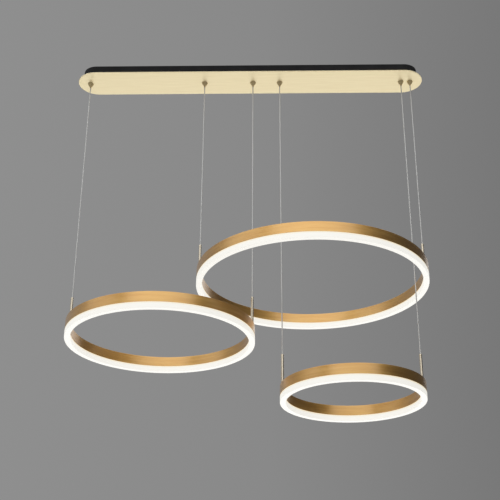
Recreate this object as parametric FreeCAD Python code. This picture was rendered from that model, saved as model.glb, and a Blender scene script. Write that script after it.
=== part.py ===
import FreeCAD, Part
import os
from math import cos, floor, pi, sin, sqrt

# Ring chandelier: three lit rings of different size, each hung level on two wires from one long
# canopy. Millimetres, +Z up. X runs along the canopy, and the origin is the middle of the ceiling
# plane, so everything hangs below zero.

Vec = FreeCAD.Vector
UP = Vec(0, 0, 1)
PAST = 1.0  # how far a cutting tool runs past the face it cuts

# Rings: outside diameter, and drop from the ceiling to the lit edge
BIG_DIAMETER = 500.0
BIG_DROP = 560.0
MEDIUM_DIAMETER = 400.0
MEDIUM_DROP = 685.0
SMALL_DIAMETER = 300.0
SMALL_DROP = 815.0

# Along the canopy: from its ends to the outermost wires, and between the last two wires on the right
WIRE_END_MARGIN = 28.5
WIRE_SPACING = 21.5

# Ring section: an upside-down U channel of aluminium over an opal diffuser of the same width
RING_WIDTH = 12.0
CHANNEL_HEIGHT = 21.5
CHANNEL_WALL = 1.2
CHANNEL_TOP = 2.0
DIFFUSER_HEIGHT = 13.0

# Snap feet that hold the diffuser between the channel's walls
FOOT_LENGTH = 10.0
FOOT_HEIGHT = 4.0
FOOT_SPACING = 100.0
FOOT_CLEARANCE = 0.1

# Straight LED boards, stuck under the channel's roof as chords of the ring
BOARD_LENGTH = 50.0
BOARD_THICKNESS = 1.2
BOARD_GAP = 4.0
BOARD_SIDE_ROOM = 2.3
BOARD_CLEARANCE = 0.4

# Hanger rods, screwed into the channel's roof, each with a socket in its top for the wire's end
ROD_DIAMETER = 6.0
ROD_HEIGHT = 70.0
ROD_SOCKET_DEPTH = 5.0
WIRE_DIAMETER = 2.4
WIRE_CLEARANCE = 0.15
THREAD_CLEARANCE = 0.05

# Canopy: a gold cover plate under a narrower black steel tray
PLATE_LENGTH = 818.0
PLATE_WIDTH = 90.0
PLATE_THICKNESS = 2.0
PLATE_CHAMFER = 0.5
PLATE_MARGIN = 12.0
TRAY_HEIGHT = 25.0
TRAY_WALL = 1.2

# Cable grippers: hollow screws with a cone below the plate and a nut inside the tray
GRIPPER_CONE_DIAMETER = 14.0
GRIPPER_CONE_HEIGHT = 8.0
GRIPPER_TIP_DIAMETER = 6.2
GRIPPER_THREAD_DIAMETER = 10.0
GRIPPER_THREAD_LENGTH = 13.0
GRIPPER_NUT_ACROSS_FLATS = 14.0
GRIPPER_NUT_HEIGHT = 5.0

# Sprung release plungers in the grippers' tips
PLUNGER_DIAMETER = 4.6
PLUNGER_LENGTH = 12.0
PLUNGER_STANDOUT = 3.0
PLUNGER_CLEARANCE = 0.08
WIRE_TAIL = 6.0

# Ceiling bracket: a steel strip with a turned-down tongue at each end
BRACKET_THICKNESS = 1.5
BRACKET_WIDTH = 30.0
BRACKET_CLEARANCE = 0.7
TONGUE_WIDTH = 14.0
TONGUE_DEPTH = 15.0
SCREW_SLOT_SPACING = 600.0
SCREW_SLOT_LENGTH = 20.0
SCREW_SLOT_WIDTH = 5.0

# Screws through the tray's round ends into the bracket's tongues
LOCK_SCREW_DIAMETER = 4.0
LOCK_SCREW_HEAD_DIAMETER = 7.5
LOCK_SCREW_HEAD_HEIGHT = 2.4
LOCK_SCREW_DEPTH = 8.0
LOCK_SCREW_TIP = 1.5
LOCK_HOLE_CLEARANCE = 0.25

# Mains entry: a hole in the bracket, and a terminal block in the tray beside it
ENTRY_CENTRE = -50.0
ENTRY_DIAMETER = 20.0
TERMINAL_LENGTH = 46.0
TERMINAL_HEIGHT = 15.0
TERMINAL_POLES = 3
TERMINAL_POLE_HOLE = 5.0
TERMINAL_BAR_HEIGHT = 5.0

# Drivers: one long slim case for each ring, along the back of the tray
DRIVER_LENGTH = 150.0
DRIVER_HEADROOM = 4.0
DRIVER_LID = 2.0
DRIVER_LID_STEP = 1.0
PACKING_GAP = 0.3

# Heights that follow from the sizes above
TRAY_FLOOR = -TRAY_HEIGHT + TRAY_WALL
PLATE_BOTTOM = -TRAY_HEIGHT - PLATE_THICKNESS
GRIPPER_TIP = PLATE_BOTTOM - GRIPPER_CONE_HEIGHT
WIRE_OUTLET = GRIPPER_TIP - PLUNGER_STANDOUT
GRIPPER_TOP = PLATE_BOTTOM + GRIPPER_THREAD_LENGTH

# Insides of the tray
TRAY_LENGTH = PLATE_LENGTH - 2 * PLATE_MARGIN
TRAY_WIDTH = PLATE_WIDTH - 2 * PLATE_MARGIN
TRAY_HALF_LENGTH_INSIDE = TRAY_LENGTH / 2 - TRAY_WALL
TRAY_HALF_WIDTH_INSIDE = TRAY_WIDTH / 2 - TRAY_WALL
NUT_CORNER_RADIUS = GRIPPER_NUT_ACROSS_FLATS / sqrt(3)
SIDE_BAY_WIDTH = TRAY_HALF_WIDTH_INSIDE - NUT_CORNER_RADIUS - 2 * PACKING_GAP
SIDE_BAY_CENTRE = NUT_CORNER_RADIUS + PACKING_GAP + SIDE_BAY_WIDTH / 2

# The bore that a wire runs in, in a plunger and in a rod's top
SOCKET_RADIUS = WIRE_DIAMETER / 2 + WIRE_CLEARANCE

# The outermost wires: the medium ring hangs from the left one, and the big ring from the right one
LEFT_WIRE = -PLATE_LENGTH / 2 + WIRE_END_MARGIN
RIGHT_WIRE = PLATE_LENGTH / 2 - WIRE_END_MARGIN


class Ring:
    """One lit ring: where it hangs and how large it is. One of its two wires is at first_wire,
    and the ring reaches from there to the right if side is 1, or to the left if side is -1."""

    def __init__(self, name, diameter, drop, first_wire, side):
        self.name = name
        self.outside = diameter / 2
        self.inside = self.outside - RING_WIDTH
        self.middle = self.outside - RING_WIDTH / 2
        self.centre = first_wire + side * self.middle
        self.lit_edge = -drop
        self.seam = self.lit_edge + DIFFUSER_HEIGHT
        self.top = self.seam + CHANNEL_HEIGHT
        self.roof = self.top - CHANNEL_TOP
        self.rod_top = self.top + ROD_HEIGHT
        self.wire_end = self.rod_top - ROD_SOCKET_DEPTH
        self.wires = (self.centre - self.middle, self.centre + self.middle)


RINGS = [
    Ring("big", BIG_DIAMETER, BIG_DROP, RIGHT_WIRE, -1),
    Ring("medium", MEDIUM_DIAMETER, MEDIUM_DROP, LEFT_WIRE, 1),
    Ring("small", SMALL_DIAMETER, SMALL_DROP, RIGHT_WIRE - WIRE_SPACING, -1),
]
WIRE_PLACES = sorted(x for ring in RINGS for x in ring.wires)


# ---------------------------------------------------------------------------------------------
# Shapes that several pieces use
# ---------------------------------------------------------------------------------------------


def turned(section, x):
    """A solid turned about the upright axis at x, from (radius, height) corners."""
    corners = [Vec(x, radius, height) for radius, height in section]
    outline = Part.makePolygon(corners + corners[:1])
    return Part.Face(outline).revolve(Vec(x, 0, 0), UP, 360)


def upright(x, radius, low, high):
    """An upright cylinder on the canopy's centre line."""
    return Part.makeCylinder(radius, high - low, Vec(x, 0, low), UP)


def block(x_range, y_range, z_range):
    """A box between the given limits."""
    corner = Vec(x_range[0], y_range[0], z_range[0])
    size = [limits[1] - limits[0] for limits in (x_range, y_range, z_range)]
    return Part.makeBox(size[0], size[1], size[2], corner)


def obround(length, width, low, high):
    """A flat-sided bar with half-round ends, along X."""
    radius = width / 2
    straight = length / 2 - radius
    right = Part.Arc(Vec(straight, -radius, low), Vec(length / 2, 0, low), Vec(straight, radius, low))
    left = Part.Arc(Vec(-straight, radius, low), Vec(-length / 2, 0, low), Vec(-straight, -radius, low))
    back = Part.LineSegment(Vec(straight, radius, low), Vec(-straight, radius, low))
    front = Part.LineSegment(Vec(-straight, -radius, low), Vec(straight, -radius, low))
    edges = [curve.toShape() for curve in (right, back, left, front)]
    return Part.Face(Part.Wire(edges)).extrude(Vec(0, 0, high - low))


def drilled(body, places, radius):
    """The body with an upright hole through it at each place on the centre line."""
    box = body.BoundBox
    for x in places:
        body = body.cut(upright(x, radius, box.ZMin - PAST, box.ZMax + PAST))
    return body


def chord_block(ring, angle, length, inner, outer, low, high):
    """A straight block between two radii of a ring, its length along the ring at an angle."""
    piece = block((inner, outer), (-length / 2, length / 2), (low, high))
    piece.rotate(Vec(0, 0, 0), UP, angle * 180 / pi)
    piece.translate(Vec(ring.centre, 0, 0))
    return piece


# ---------------------------------------------------------------------------------------------
# Rings
# ---------------------------------------------------------------------------------------------


def channel(ring):
    """The aluminium channel: a U open downwards, with a tapped hole for each hanger rod."""
    wall_inside = ring.inside + CHANNEL_WALL
    wall_outside = ring.outside - CHANNEL_WALL
    section = [
        (ring.inside, ring.seam),
        (wall_inside, ring.seam),
        (wall_inside, ring.roof),
        (wall_outside, ring.roof),
        (wall_outside, ring.seam),
        (ring.outside, ring.seam),
        (ring.outside, ring.top),
        (ring.inside, ring.top),
    ]
    body = turned(section, ring.centre)
    for x in ring.wires:
        radius = ROD_DIAMETER / 2 + THREAD_CLEARANCE
        body = body.cut(upright(x, radius, ring.roof - PAST, ring.top + PAST))
    return body


def diffuser(ring):
    """The opal diffuser: a solid bar that closes the channel, with snap feet round its top."""
    section = [
        (ring.inside, ring.lit_edge),
        (ring.outside, ring.lit_edge),
        (ring.outside, ring.seam),
        (ring.inside, ring.seam),
    ]
    body = turned(section, ring.centre)
    count = floor(2 * pi * ring.middle / FOOT_SPACING / 2) * 2
    inner = ring.inside + CHANNEL_WALL + FOOT_CLEARANCE
    outer = sqrt((ring.outside - CHANNEL_WALL - FOOT_CLEARANCE) ** 2 - (FOOT_LENGTH / 2) ** 2)
    for number in range(count):
        angle = 2 * pi * (number + 0.5) / count
        foot = chord_block(ring, angle, FOOT_LENGTH, inner, outer, ring.seam - PAST, ring.seam + FOOT_HEIGHT)
        body = body.fuse(foot)
    return body.removeSplitter()


def led_boards(ring):
    """Straight LED boards under the channel's roof, evenly spaced between the two rods."""
    width = RING_WIDTH - 2 * CHANNEL_WALL - 2 * BOARD_SIDE_ROOM
    far_corner = ring.outside - CHANNEL_WALL - BOARD_CLEARANCE
    outer = sqrt(far_corner**2 - (BOARD_LENGTH / 2) ** 2)
    half_turn = pi * ring.middle - ROD_DIAMETER - 2 * BOARD_GAP
    count = floor(half_turn / (BOARD_LENGTH + BOARD_GAP))
    first = (ROD_DIAMETER / 2 + BOARD_GAP) / ring.middle
    step = (pi - 2 * first) / count
    boards = []
    for side in (0, pi):
        for number in range(count):
            angle = side + first + (number + 0.5) * step
            limits = (outer - width, outer, ring.roof - BOARD_THICKNESS, ring.roof)
            boards.append(chord_block(ring, angle, BOARD_LENGTH, *limits))
    return Part.makeCompound(boards)


def rods(ring):
    """The two hanger rods: each is screwed into the channel's roof and takes a wire in its top."""
    outer = ROD_DIAMETER / 2
    section = [
        (0, ring.roof),
        (outer, ring.roof),
        (outer, ring.rod_top),
        (SOCKET_RADIUS, ring.rod_top),
        (SOCKET_RADIUS, ring.wire_end),
        (0, ring.wire_end),
    ]
    return Part.makeCompound([turned(section, x) for x in ring.wires])


def wires(ring):
    """The two wires, from the rods' sockets up through the grippers to their tails in the tray."""
    high = GRIPPER_TOP + WIRE_TAIL
    return Part.makeCompound([upright(x, WIRE_DIAMETER / 2, ring.wire_end, high) for x in ring.wires])


# ---------------------------------------------------------------------------------------------
# Cable grippers
# ---------------------------------------------------------------------------------------------


def grippers(ring):
    """The two grippers of a ring: a thread, a cone, and the bore that guides the plunger."""
    thread = GRIPPER_THREAD_DIAMETER / 2
    bore = PLUNGER_DIAMETER / 2 + PLUNGER_CLEARANCE
    section = [
        (bore, GRIPPER_TIP),
        (GRIPPER_TIP_DIAMETER / 2, GRIPPER_TIP),
        (GRIPPER_CONE_DIAMETER / 2, PLATE_BOTTOM),
        (thread, PLATE_BOTTOM),
        (thread, GRIPPER_TOP),
        (bore, GRIPPER_TOP),
    ]
    return Part.makeCompound([turned(section, x) for x in ring.wires])


def plunger(x):
    """A release plunger: a sleeve on the wire that is pushed up into the gripper to free it."""
    outer = PLUNGER_DIAMETER / 2
    section = [
        (SOCKET_RADIUS, WIRE_OUTLET),
        (outer, WIRE_OUTLET),
        (outer, WIRE_OUTLET + PLUNGER_LENGTH),
        (SOCKET_RADIUS, WIRE_OUTLET + PLUNGER_LENGTH),
    ]
    return turned(section, x)


def gripper_nuts():
    """The hexagon nuts that clamp the plate and the tray together, their flats across the canopy."""
    nuts = []
    for x in WIRE_PLACES:
        corners = []
        for number in range(6):
            angle = (number + 0.5) * pi / 3
            corner = Vec(x + NUT_CORNER_RADIUS * cos(angle), NUT_CORNER_RADIUS * sin(angle), TRAY_FLOOR)
            corners.append(corner)
        outline = Part.makePolygon(corners + corners[:1])
        nut = Part.Face(outline).extrude(Vec(0, 0, GRIPPER_NUT_HEIGHT))
        nuts.append(drilled(nut, [x], GRIPPER_THREAD_DIAMETER / 2 + THREAD_CLEARANCE))
    return Part.makeCompound(nuts)


# ---------------------------------------------------------------------------------------------
# Canopy
# ---------------------------------------------------------------------------------------------


def gripper_holes(body):
    """The body with a clearance hole for each gripper's thread."""
    return drilled(body, WIRE_PLACES, GRIPPER_THREAD_DIAMETER / 2 + THREAD_CLEARANCE)


def canopy_plate():
    """The cover plate, its lower edge chamfered all round."""
    plate = obround(PLATE_LENGTH, PLATE_WIDTH, PLATE_BOTTOM, -TRAY_HEIGHT)
    lower_edges = [edge for edge in plate.Edges if edge.BoundBox.ZMax < PLATE_BOTTOM + PLATE_CHAMFER]
    return gripper_holes(plate.makeChamfer(PLATE_CHAMFER, lower_edges))


def end_screw_axis(side, length, start, radius):
    """A cylinder along X on a lock screw's axis, from start outwards."""
    return Part.makeCylinder(radius, length, Vec(side * start, 0, -LOCK_SCREW_DEPTH), Vec(side, 0, 0))


def canopy_tray():
    """The black tray: open to the ceiling, with a hole in each round end for its lock screw."""
    outside = obround(TRAY_LENGTH, TRAY_WIDTH, -TRAY_HEIGHT, 0)
    inside = obround(2 * TRAY_HALF_LENGTH_INSIDE, 2 * TRAY_HALF_WIDTH_INSIDE, TRAY_FLOOR, PAST)
    tray = gripper_holes(outside.cut(inside))
    for side in (-1, 1):
        start = TRAY_HALF_LENGTH_INSIDE - PAST
        radius = LOCK_SCREW_DIAMETER / 2 + LOCK_HOLE_CLEARANCE
        tray = tray.cut(end_screw_axis(side, TRAY_WALL + 2 * PAST, start, radius))
    return tray


def reach_inside(y):
    """How far out along X the tray's rounded end leaves room at the given distance from the axis."""
    centre = TRAY_HALF_LENGTH_INSIDE - TRAY_HALF_WIDTH_INSIDE
    return centre + sqrt(TRAY_HALF_WIDTH_INSIDE**2 - y**2) - BRACKET_CLEARANCE


TONGUE_FACE = reach_inside(TONGUE_WIDTH / 2)


def ceiling_bracket():
    """The strip on the ceiling: slotted for two ceiling screws, with a tongue at each end."""
    half_width = BRACKET_WIDTH / 2
    half_length = reach_inside(half_width)
    half_tongue = TONGUE_WIDTH / 2
    strip = block((-half_length, half_length), (-half_width, half_width), (-BRACKET_THICKNESS, 0))
    for side in (-1, 1):
        neck_range = sorted((side * (half_length - PAST), side * TONGUE_FACE))
        tongue_range = sorted((side * (TONGUE_FACE - BRACKET_THICKNESS), side * TONGUE_FACE))
        strip = strip.fuse(block(neck_range, (-half_tongue, half_tongue), (-BRACKET_THICKNESS, 0)))
        strip = strip.fuse(block(tongue_range, (-half_tongue, half_tongue), (-TONGUE_DEPTH, 0)))
    strip = strip.removeSplitter()
    for side in (-1, 1):
        start = TONGUE_FACE - BRACKET_THICKNESS - PAST
        radius = LOCK_SCREW_DIAMETER / 2 + THREAD_CLEARANCE
        strip = strip.cut(end_screw_axis(side, BRACKET_THICKNESS + 2 * PAST, start, radius))
        slot = obround(SCREW_SLOT_LENGTH, SCREW_SLOT_WIDTH, -BRACKET_THICKNESS - PAST, PAST)
        slot.translate(Vec(side * SCREW_SLOT_SPACING / 2, 0, 0))
        strip = strip.cut(slot)
    return drilled(strip, [ENTRY_CENTRE], ENTRY_DIAMETER / 2)


def lock_screws():
    """The two screws that lock the tray to the bracket's tongues."""
    screws = []
    head_face = TRAY_LENGTH / 2
    tip = TONGUE_FACE - BRACKET_THICKNESS - LOCK_SCREW_TIP
    for side in (-1, 1):
        shank = end_screw_axis(side, head_face - tip, tip, LOCK_SCREW_DIAMETER / 2)
        head = end_screw_axis(side, LOCK_SCREW_HEAD_HEIGHT, head_face, LOCK_SCREW_HEAD_DIAMETER / 2)
        screws.append(shank.fuse(head))
    return Part.makeCompound(screws)


def terminal_block():
    """The terminal block at the front of the tray, with a square wire hole through each pole."""
    y_range = (-SIDE_BAY_CENTRE - SIDE_BAY_WIDTH / 2, -SIDE_BAY_CENTRE + SIDE_BAY_WIDTH / 2)
    x_range = (ENTRY_CENTRE - TERMINAL_LENGTH / 2, ENTRY_CENTRE + TERMINAL_LENGTH / 2)
    body = block(x_range, y_range, (TRAY_FLOOR, TRAY_FLOOR + TERMINAL_HEIGHT))
    pitch = TERMINAL_LENGTH / TERMINAL_POLES
    hole_low = TRAY_FLOOR + TERMINAL_BAR_HEIGHT
    for number in range(TERMINAL_POLES):
        x = x_range[0] + (number + 0.5) * pitch
        hole_range = (x - TERMINAL_POLE_HOLE / 2, x + TERMINAL_POLE_HOLE / 2)
        through = (y_range[0] - PAST, y_range[1] + PAST)
        body = body.cut(block(hole_range, through, (hole_low, hole_low + TERMINAL_POLE_HOLE)))
    return body


def driver(x):
    """A slim driver case with a stepped lid, at the back of the tray."""
    half = DRIVER_LENGTH / 2
    near = SIDE_BAY_CENTRE - SIDE_BAY_WIDTH / 2
    far = SIDE_BAY_CENTRE + SIDE_BAY_WIDTH / 2
    top = -BRACKET_THICKNESS - DRIVER_HEADROOM
    case = block((x - half, x + half), (near, far), (TRAY_FLOOR, top - DRIVER_LID))
    lid_x = (x - half + DRIVER_LID_STEP, x + half - DRIVER_LID_STEP)
    lid_y = (near + DRIVER_LID_STEP, far - DRIVER_LID_STEP)
    return case.fuse(block(lid_x, lid_y, (top - DRIVER_LID, top)))


def driver_places():
    """Where the three drivers lie: the tray's straight length in three equal bays."""
    straight = 2 * (TRAY_HALF_LENGTH_INSIDE - TRAY_HALF_WIDTH_INSIDE)
    bay = straight / len(RINGS)
    return {"medium": -bay, "small": 0.0, "big": bay}


# ---------------------------------------------------------------------------------------------
# Writing the pieces
# ---------------------------------------------------------------------------------------------


def write(name, shape):
    """Write one piece, or one group of alike pieces, to its own file."""
    for solid in shape.Solids:
        if not solid.isValid():
            raise ValueError(name + " has a solid that isn't valid")
    shape.exportStep(os.path.join("parts", name + ".step"))
    print(name, len(shape.Solids), "solids", round(shape.Volume), "mm3")


def main():
    os.makedirs("parts", exist_ok=True)
    write("ceiling_bracket", ceiling_bracket())
    write("canopy_tray", canopy_tray())
    write("canopy_plate", canopy_plate())
    write("lock_screws", lock_screws())
    write("terminal_block", terminal_block())
    write("gripper_nuts", gripper_nuts())
    places = driver_places()
    for ring in RINGS:
        write("driver_" + ring.name, driver(places[ring.name]))
        write("grippers_" + ring.name, grippers(ring))
        for side, x in zip(("left", "right"), ring.wires):
            write("plunger_" + ring.name + "_" + side, plunger(x))
        write("wires_" + ring.name, wires(ring))
        write("rods_" + ring.name, rods(ring))
        write("channel_" + ring.name, channel(ring))
        write("led_boards_" + ring.name, led_boards(ring))
        write("diffuser_" + ring.name, diffuser(ring))


main()
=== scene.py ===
import logging
from collections.abc import Sequence
from dataclasses import dataclass
from enum import Enum
from itertools import pairwise
from math import cos, pi, radians, sin
from typing import NamedTuple

import bpy
from mathutils import Euler, Matrix, Vector


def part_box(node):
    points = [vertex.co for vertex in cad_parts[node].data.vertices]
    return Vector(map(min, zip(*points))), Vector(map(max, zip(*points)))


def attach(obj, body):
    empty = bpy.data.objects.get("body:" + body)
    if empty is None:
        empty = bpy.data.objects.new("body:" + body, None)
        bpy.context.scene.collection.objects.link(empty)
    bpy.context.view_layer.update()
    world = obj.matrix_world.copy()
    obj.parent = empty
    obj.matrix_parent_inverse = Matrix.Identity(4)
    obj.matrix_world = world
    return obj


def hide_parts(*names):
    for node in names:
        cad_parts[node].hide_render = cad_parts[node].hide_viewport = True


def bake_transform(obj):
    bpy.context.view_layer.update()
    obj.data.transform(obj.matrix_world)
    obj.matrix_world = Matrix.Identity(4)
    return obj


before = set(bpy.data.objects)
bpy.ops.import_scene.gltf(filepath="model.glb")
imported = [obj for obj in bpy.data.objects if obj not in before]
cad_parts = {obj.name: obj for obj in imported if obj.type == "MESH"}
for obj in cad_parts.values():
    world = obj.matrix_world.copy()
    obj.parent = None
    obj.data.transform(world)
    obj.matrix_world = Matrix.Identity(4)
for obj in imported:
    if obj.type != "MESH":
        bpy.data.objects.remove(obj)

LOG = logging.getLogger("chandelier")
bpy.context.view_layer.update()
MM = 0.001
RING_NAMES = ("big", "medium", "small")
SIDES = ("left", "right")
CANOPY_BODY = "canopy"
UPRIGHT = Euler((0.0, 0.0, 0.0))
THROUGH = 20 * MM  # the length of a cutter that goes right through a sheet or a nut
CLEAR = 1 * MM  # how far a cutter stands out of the piece that it cuts
Piece = bpy.types.Object
Material = bpy.types.Material
Socket = bpy.types.NodeSocket


# ---------------------------------------------------------------------------------------------
# Modelling by hand: primitives, extrusions and modifiers
# ---------------------------------------------------------------------------------------------


class Station(NamedTuple):
    """One ring of a turned part, in millimetres: its radius and its height."""

    radius: float
    height: float


@dataclass(frozen=True)
class Groove:
    """A shallow groove round a turned part, in millimetres.

    Attributes:
        flat: the height of its floor.
        depth: how far the floor lies under the surface.
        slope: the height of each of its sloping sides.
    """

    flat: float
    depth: float = 0.25
    slope: float = 0.2

    def stations(self, radius: float, low: float) -> list[Station]:
        """Its outline, from its lower edge up.

        Args:
            radius: the radius of the surface that it runs round.
            low: the height of its lower edge.

        Returns:
            The four stations.
        """
        floor = radius - self.depth
        floor_low = low + self.slope
        floor_high = floor_low + self.flat
        return [
            Station(radius, low),
            Station(floor, floor_low),
            Station(floor, floor_high),
            Station(radius, floor_high + self.slope),
        ]


class Cut(Enum):
    """What a cutter does to a piece."""

    AWAY = "DIFFERENCE"
    KEEP = "INTERSECT"


def start_piece() -> None:
    """Deselects everything, so that the next operator acts on its own primitive alone."""
    if bpy.context.mode != "OBJECT":
        bpy.ops.object.mode_set(mode="OBJECT")
    bpy.ops.object.select_all(action="DESELECT")


def take_up(piece: Piece) -> None:
    """Makes a piece the selected and active one.

    Args:
        piece: the piece.
    """
    start_piece()
    piece.select_set(True)
    bpy.context.view_layer.objects.active = piece


def settle(piece: Piece) -> Piece:
    """Puts a piece's place and turn into its mesh, with its object at the origin.

    Args:
        piece: the piece.

    Returns:
        The same piece.
    """
    take_up(piece)
    bpy.ops.object.transform_apply(location=True, rotation=True, scale=True)
    return piece


def copied(pattern: Piece, name: str, place: Vector, turn: Euler = UPRIGHT) -> Piece:
    """A copy of a pattern, with its own mesh.

    Args:
        pattern: the piece to copy, modelled about the origin.
        name: the copy's name.
        place: where the pattern's origin goes, in metres.
        turn: how the copy is turned about that point.

    Returns:
        The copy, settled at the origin.
    """
    take_up(pattern)
    bpy.ops.object.duplicate(linked=False)
    piece = bpy.context.object
    piece.name = name
    piece.location = place
    piece.rotation_euler = turn
    return settle(piece)


def discard(piece: Piece) -> None:
    """Throws a pattern or a cutter away."""
    bpy.data.objects.remove(piece)


def mend_normals(piece: Piece) -> None:
    """Merges doubles, closes open ends and turns every face outwards.

    Args:
        piece: the piece.
    """
    take_up(piece)
    bpy.ops.object.mode_set(mode="EDIT")
    bpy.ops.mesh.select_all(action="SELECT")
    bpy.ops.mesh.remove_doubles(threshold=1e-6)
    bpy.ops.mesh.fill_holes(sides=0)
    bpy.ops.mesh.select_all(action="SELECT")
    bpy.ops.mesh.normals_make_consistent(inside=False)
    bpy.ops.object.mode_set(mode="OBJECT")


def turned(name: str, x: float, stations: Sequence[Station], sides: int = 48) -> Piece:
    """A part as a lathe makes it: a circle that is extruded and scaled from station to station.

    Args:
        name: the piece's name.
        x: where its upright axis stands along the canopy, in metres.
        stations: its outline. Where the last station meets the first, the part has a bore.
        sides: how many sides its circles have.

    Returns:
        The closed piece, settled at the origin.
    """
    start_piece()
    first = stations[0]
    place = (x, 0.0, first.height * MM)
    bpy.ops.mesh.primitive_circle_add(vertices=sides, radius=first.radius * MM, location=place)
    piece = bpy.context.object
    piece.name = name
    bpy.ops.object.mode_set(mode="EDIT")
    bpy.ops.mesh.select_all(action="SELECT")
    for before, after in pairwise(stations):
        rise = (after.height - before.height) * MM
        bpy.ops.mesh.extrude_edges_move(TRANSFORM_OT_translate={"value": (0, 0, rise)})
        share = after.radius / before.radius
        if share != 1:
            bpy.ops.transform.resize(value=(share, share, 1), center_override=(x, 0, after.height * MM))
    bpy.ops.object.mode_set(mode="OBJECT")
    settle(piece)
    mend_normals(piece)
    return piece


def obround(name: str, length: float, width: float, low: float, high: float, sides: int) -> Piece:
    """A bar with half-round ends along X, from a circle whose halves are pulled apart.

    Args:
        name: the piece's name.
        length: its overall length, in metres.
        width: its width, in metres.
        low: the height of its lower face.
        high: the height of its upper face.
        sides: how many sides its circle has, an even number.

    Returns:
        The closed piece, settled at the origin.
    """
    start_piece()
    half_step = pi / sides
    bpy.ops.mesh.primitive_circle_add(
        vertices=sides,
        radius=width / 2 / cos(half_step),
        fill_type="NGON",
        location=(0, 0, low),
        rotation=(0, 0, half_step),
    )
    piece = settle(bpy.context.object)
    piece.name = name
    for side in (-1, 1):
        pull_side(piece, side, (length - width) / 2)
    bpy.ops.object.mode_set(mode="EDIT")
    bpy.ops.mesh.select_all(action="SELECT")
    bpy.ops.mesh.extrude_region_move(TRANSFORM_OT_translate={"value": (0, 0, high - low)})
    bpy.ops.object.mode_set(mode="OBJECT")
    mend_normals(piece)
    return piece


def pull_side(piece: Piece, side: int, distance: float) -> None:
    """Moves one half of a piece's points along X, away from the middle.

    Args:
        piece: the piece, about the origin.
        side: -1 for the left half, 1 for the right.
        distance: how far they go, in metres.
    """
    take_up(piece)
    bpy.ops.object.mode_set(mode="EDIT")
    bpy.ops.mesh.select_all(action="DESELECT")
    bpy.ops.object.mode_set(mode="OBJECT")
    for vertex in piece.data.vertices:
        vertex.select = vertex.co.x * side > 0
    bpy.ops.object.mode_set(mode="EDIT")
    bpy.ops.transform.translate(value=(side * distance, 0, 0))
    bpy.ops.object.mode_set(mode="OBJECT")


def box(name: str, low: Sequence[float], high: Sequence[float]) -> Piece:
    """A block, to be shaped further or to cut with.

    Args:
        name: the piece's name.
        low: its lowest corner, in metres.
        high: its highest corner.

    Returns:
        The block, settled at the origin.
    """
    start_piece()
    middle = [(a + b) / 2 for a, b in zip(low, high)]
    size = [b - a for a, b in zip(low, high)]
    bpy.ops.mesh.primitive_cube_add(size=1, location=middle, scale=size)
    piece = bpy.context.object
    piece.name = name
    return settle(piece)


def peg(place: Vector, radius: float, height: float, turn: Euler = UPRIGHT, sides: int = 32) -> Piece:
    """A cylinder or prism, to be shaped further or to cut with.

    Args:
        place: its middle, in metres.
        radius: its radius, over its corners.
        height: its height.
        turn: how it is turned from upright.
        sides: how many sides it has.

    Returns:
        The cylinder, settled at the origin.
    """
    start_piece()
    bpy.ops.mesh.primitive_cylinder_add(
        vertices=sides, radius=radius, depth=height, location=place, rotation=turn
    )
    return settle(bpy.context.object)


def cut(piece: Piece, cutters: Sequence[Piece], how: Cut = Cut.AWAY) -> None:
    """Changes a piece with cutters, which are then thrown away.

    Args:
        piece: the piece.
        cutters: the shapes that change it, one after the other.
        how: whether the room that they share with it goes or stays.
    """
    for cutter in cutters:
        take_up(piece)
        modifier = piece.modifiers.new("cut", "BOOLEAN")
        modifier.operation = how.value
        modifier.solver = "EXACT"
        modifier.object = cutter
        bpy.ops.object.modifier_apply(modifier=modifier.name)
        discard(cutter)


def round_edges(piece: Piece, width: float, segments: int = 3, sharper_than: float = 35) -> None:
    """Rounds a piece's sharp edges.

    Args:
        piece: the piece.
        width: how far the rounding reaches from the edge, in metres.
        segments: how many faces it has.
        sharper_than: the least angle of an edge that is rounded, in degrees.
    """
    take_up(piece)
    modifier = piece.modifiers.new("round", "BEVEL")
    modifier.width = width
    modifier.segments = segments
    modifier.limit_method = "ANGLE"
    modifier.angle_limit = radians(sharper_than)
    bpy.ops.object.modifier_apply(modifier=modifier.name)


def smooth(piece: Piece, flatter_than: float = 40) -> None:
    """Shades a piece smooth, with its large faces kept flat.

    Args:
        piece: the piece.
        flatter_than: the angle up to which an edge is shaded smooth, in degrees.
    """
    take_up(piece)
    bpy.ops.object.shade_smooth_by_angle(angle=radians(flatter_than))
    modifier = piece.modifiers.new("even", "WEIGHTED_NORMAL")
    modifier.keep_sharp = True
    bpy.ops.object.modifier_apply(modifier=modifier.name)


# ---------------------------------------------------------------------------------------------
# Finishes
# ---------------------------------------------------------------------------------------------

Colour = tuple[float, float, float]

WHOLE = (0.0, 1.0)  # where a blend of two colours starts and ends
NOISE = (0.3, 0.7)  # noise seldom leaves this range
CLOUDS = (0.35, 0.65)  # soft clouds keep nearer to its middle


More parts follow.
